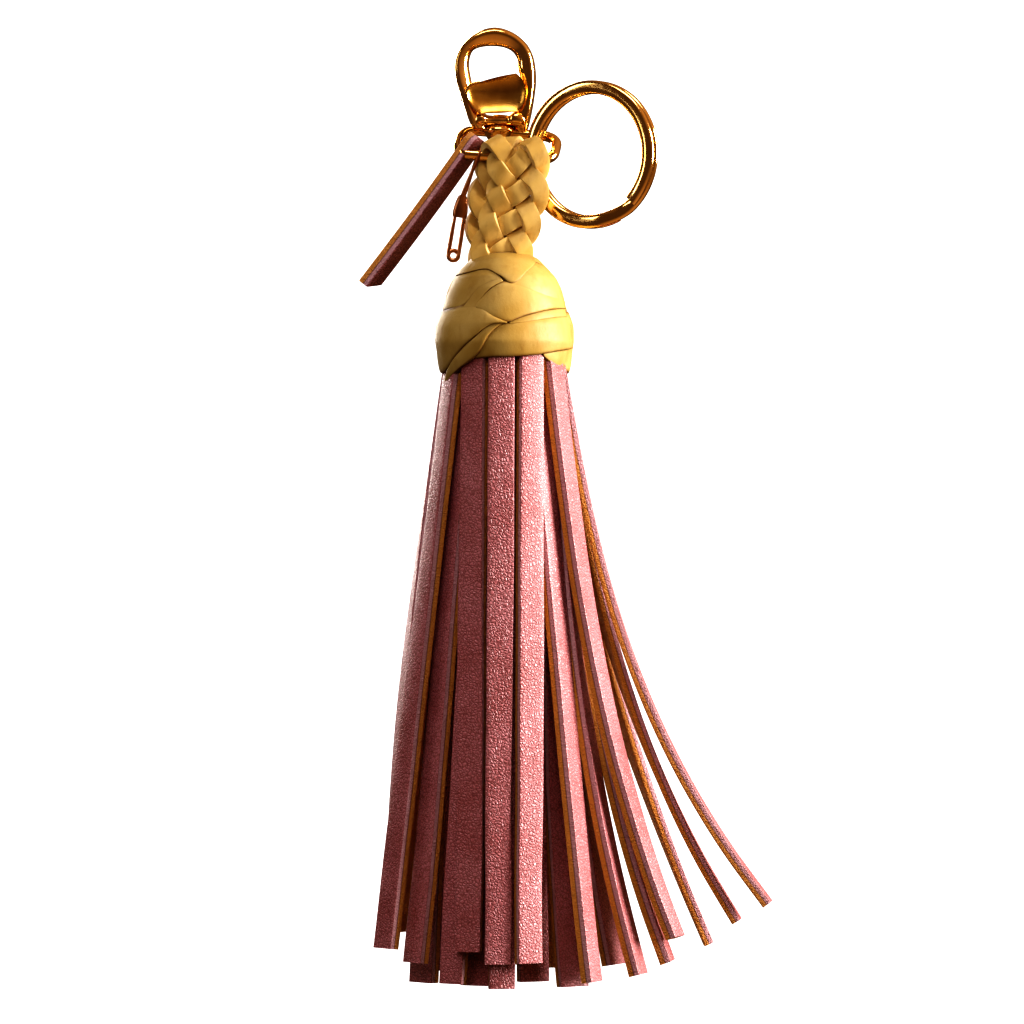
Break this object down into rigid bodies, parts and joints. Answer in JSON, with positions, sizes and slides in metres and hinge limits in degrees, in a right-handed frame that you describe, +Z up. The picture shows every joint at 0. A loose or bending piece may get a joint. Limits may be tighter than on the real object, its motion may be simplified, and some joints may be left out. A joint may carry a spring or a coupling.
{
  "type": "wristlet keychain",
  "caption": "Leather tassel keychain: a snap hook, swivel and oval loop carry a split ring, a leather tag, a safety pin and a braided strap ending in a woven head with long splayed strands.",
  "frame": {"origin": "centre of the snap hook's opening, which is where the part hangs", "axes": "+Z up towards the top of the hook, -Y towards the front that shows the hook's gate, +X to the side that carries the split ring"},
  "size_m": [0.0788, 0.0349, 0.1823],
  "materials": {
    "gold": "polished, warm yellow plating",
    "steel": "plain spring wire",
    "mustard_leather": "smooth waxed leather with pale cut edges",
    "pink_leather": "soft glossy grained leather with tan cut edges"
  },
  "bodies": {
    "hook": {"hook_frame": "gold", "gate_pin": "gold", "gate_spring": "steel"},
    "gate": {"hook_gate": "gold"},
    "swivel": {"swivel_eye": "gold", "swivel_washer": "gold"},
    "loop": {"strap_loop": "gold"},
    "key_ring": {"key_ring": "gold"},
    "tag": {"tag_strip": "pink_leather"},
    "safety_pin": {"pin_link": "gold", "pin_cap": "gold", "pin_wire": "gold"},
    "pin_arm": {"pin_arm": "gold"},
    "strap": {"braid_lace_1": "mustard_leather", "braid_lace_2": "mustard_leather", "braid_lace_3": "mustard_leather", "braid_lace_4": "mustard_leather", "head_band_1": "pink_leather", "head_band_2": "pink_leather", "head_band_3": "pink_leather", "head_band_4": "pink_leather", "head_band_5": "pink_leather", "head_band_6": "pink_leather", "head_core": "pink_leather", "strand_core_front": "pink_leather", "strand_core_left": "pink_leather", "strand_core_rear": "pink_leather", "strand_core_rear_left": "pink_leather", "strand_core_rear_right": "pink_leather", "strand_core_right": "pink_leather", "strand_right_inner": "pink_leather", "strand_right_middle": "pink_leather", "strand_right_rear": "pink_leather"},
    "fringe_front": {"strand_front_mid_left": "pink_leather", "strand_front_middle": "pink_leather", "strand_front_mid_right": "pink_leather", "strand_second_mid_left": "pink_leather", "strand_second_middle": "pink_leather"},
    "fringe_left": {"strand_front_left": "pink_leather", "strand_left_outer": "pink_leather", "strand_left_rear": "pink_leather", "strand_second_left": "pink_leather", "strand_second_rear_left": "pink_leather"},
    "fringe_back": {"strand_back_left": "pink_leather", "strand_back_middle": "pink_leather", "strand_back_right": "pink_leather", "strand_second_back_left": "pink_leather", "strand_second_back_right": "pink_leather"},
    "fringe_right": {"strand_right_outer": "pink_leather"},
    "stray_high": {"strand_stray_high": "pink_leather"},
    "stray_pair": {"strand_stray_middle": "pink_leather", "strand_stray_low": "pink_leather"}
  },
  "joints": [
    {"name": "gate_open", "type": "hinge", "parent": "hook", "child": "gate", "pos_m": [0.00053, 0, -0.00618], "axis": [-0.9963, 0, -0.0854], "range_deg": [0, 24], "stiffness_Nm_per_rad": 0.02, "springref_deg": -11.46},
    {"name": "hook_swivel", "type": "hinge", "parent": "hook", "child": "swivel", "pos_m": [0.001, 0, -0.01], "axis": [0, 0, 1], "continuous": true},
    {"name": "loop_tilt", "type": "hinge", "parent": "swivel", "child": "loop", "pos_m": [0.001, 0, -0.0132], "axis": [0.9903, -0.1097, -0.0857], "range_deg": [-30, 50]},
    {"name": "strap_swing", "type": "hinge", "parent": "loop", "child": "strap", "pos_m": [0.0039, -0.00661, -0.01836], "axis": [0.9903, -0.1097, -0.0857], "range_deg": [-30, 0]},
    {"name": "key_ring_swing", "type": "hinge", "parent": "loop", "child": "key_ring", "pos_m": [0.00877, -0.004, -0.01633], "axis": [0.9903, -0.1097, -0.0857], "range_deg": [0, 40]},
    {"name": "tag_swing", "type": "hinge", "parent": "loop", "child": "tag", "pos_m": [-0.00563, -0.00488, -0.01701], "axis": [0.6986, -0.4391, -0.5649], "range_deg": [-50, 35]},
    {"name": "safety_pin_swing", "type": "hinge", "parent": "loop", "child": "safety_pin", "pos_m": [-0.00287, -0.00586, -0.01778], "axis": [0.9903, -0.1097, -0.0857], "range_deg": [-30, 12]},
    {"name": "pin_arm_open", "type": "hinge", "parent": "safety_pin", "child": "pin_arm", "pos_m": [-0.00867, -0.00586, -0.03692], "axis": [0, -1, 0], "range_deg": [0, 20], "stiffness_Nm_per_rad": 0.002, "springref_deg": -17.19},
    {"name": "fringe_front_splay", "type": "hinge", "parent": "strap", "child": "fringe_front", "pos_m": [0.0021, -0.01661, -0.0546], "axis": [-1, 0, 0], "range_deg": [0, 14]},
    {"name": "fringe_left_splay", "type": "hinge", "parent": "strap", "child": "fringe_left", "pos_m": [-0.0079, -0.00661, -0.0546], "axis": [0, 1, 0], "range_deg": [0, 14]},
    {"name": "fringe_back_splay", "type": "hinge", "parent": "strap", "child": "fringe_back", "pos_m": [0.0021, 0.00339, -0.0546], "axis": [1, 0, 0], "range_deg": [0, 14]},
    {"name": "fringe_right_splay", "type": "hinge", "parent": "strap", "child": "fringe_right", "pos_m": [0.00976, -0.01304, -0.0546], "axis": [-0.6428, -0.766, 0], "range_deg": [0, 10]},
    {"name": "stray_high_splay", "type": "hinge", "parent": "strap", "child": "stray_high", "pos_m": [0.0121, -0.00643, -0.0546], "axis": [0.0174, -0.9998, 0], "range_deg": [0, 15]},
    {"name": "stray_pair_splay", "type": "hinge", "parent": "strap", "child": "stray_pair", "pos_m": [0.01209, -0.00696, -0.0546], "axis": [-0.0349, -0.9994, 0], "range_deg": [0, 4]}
  ]
}
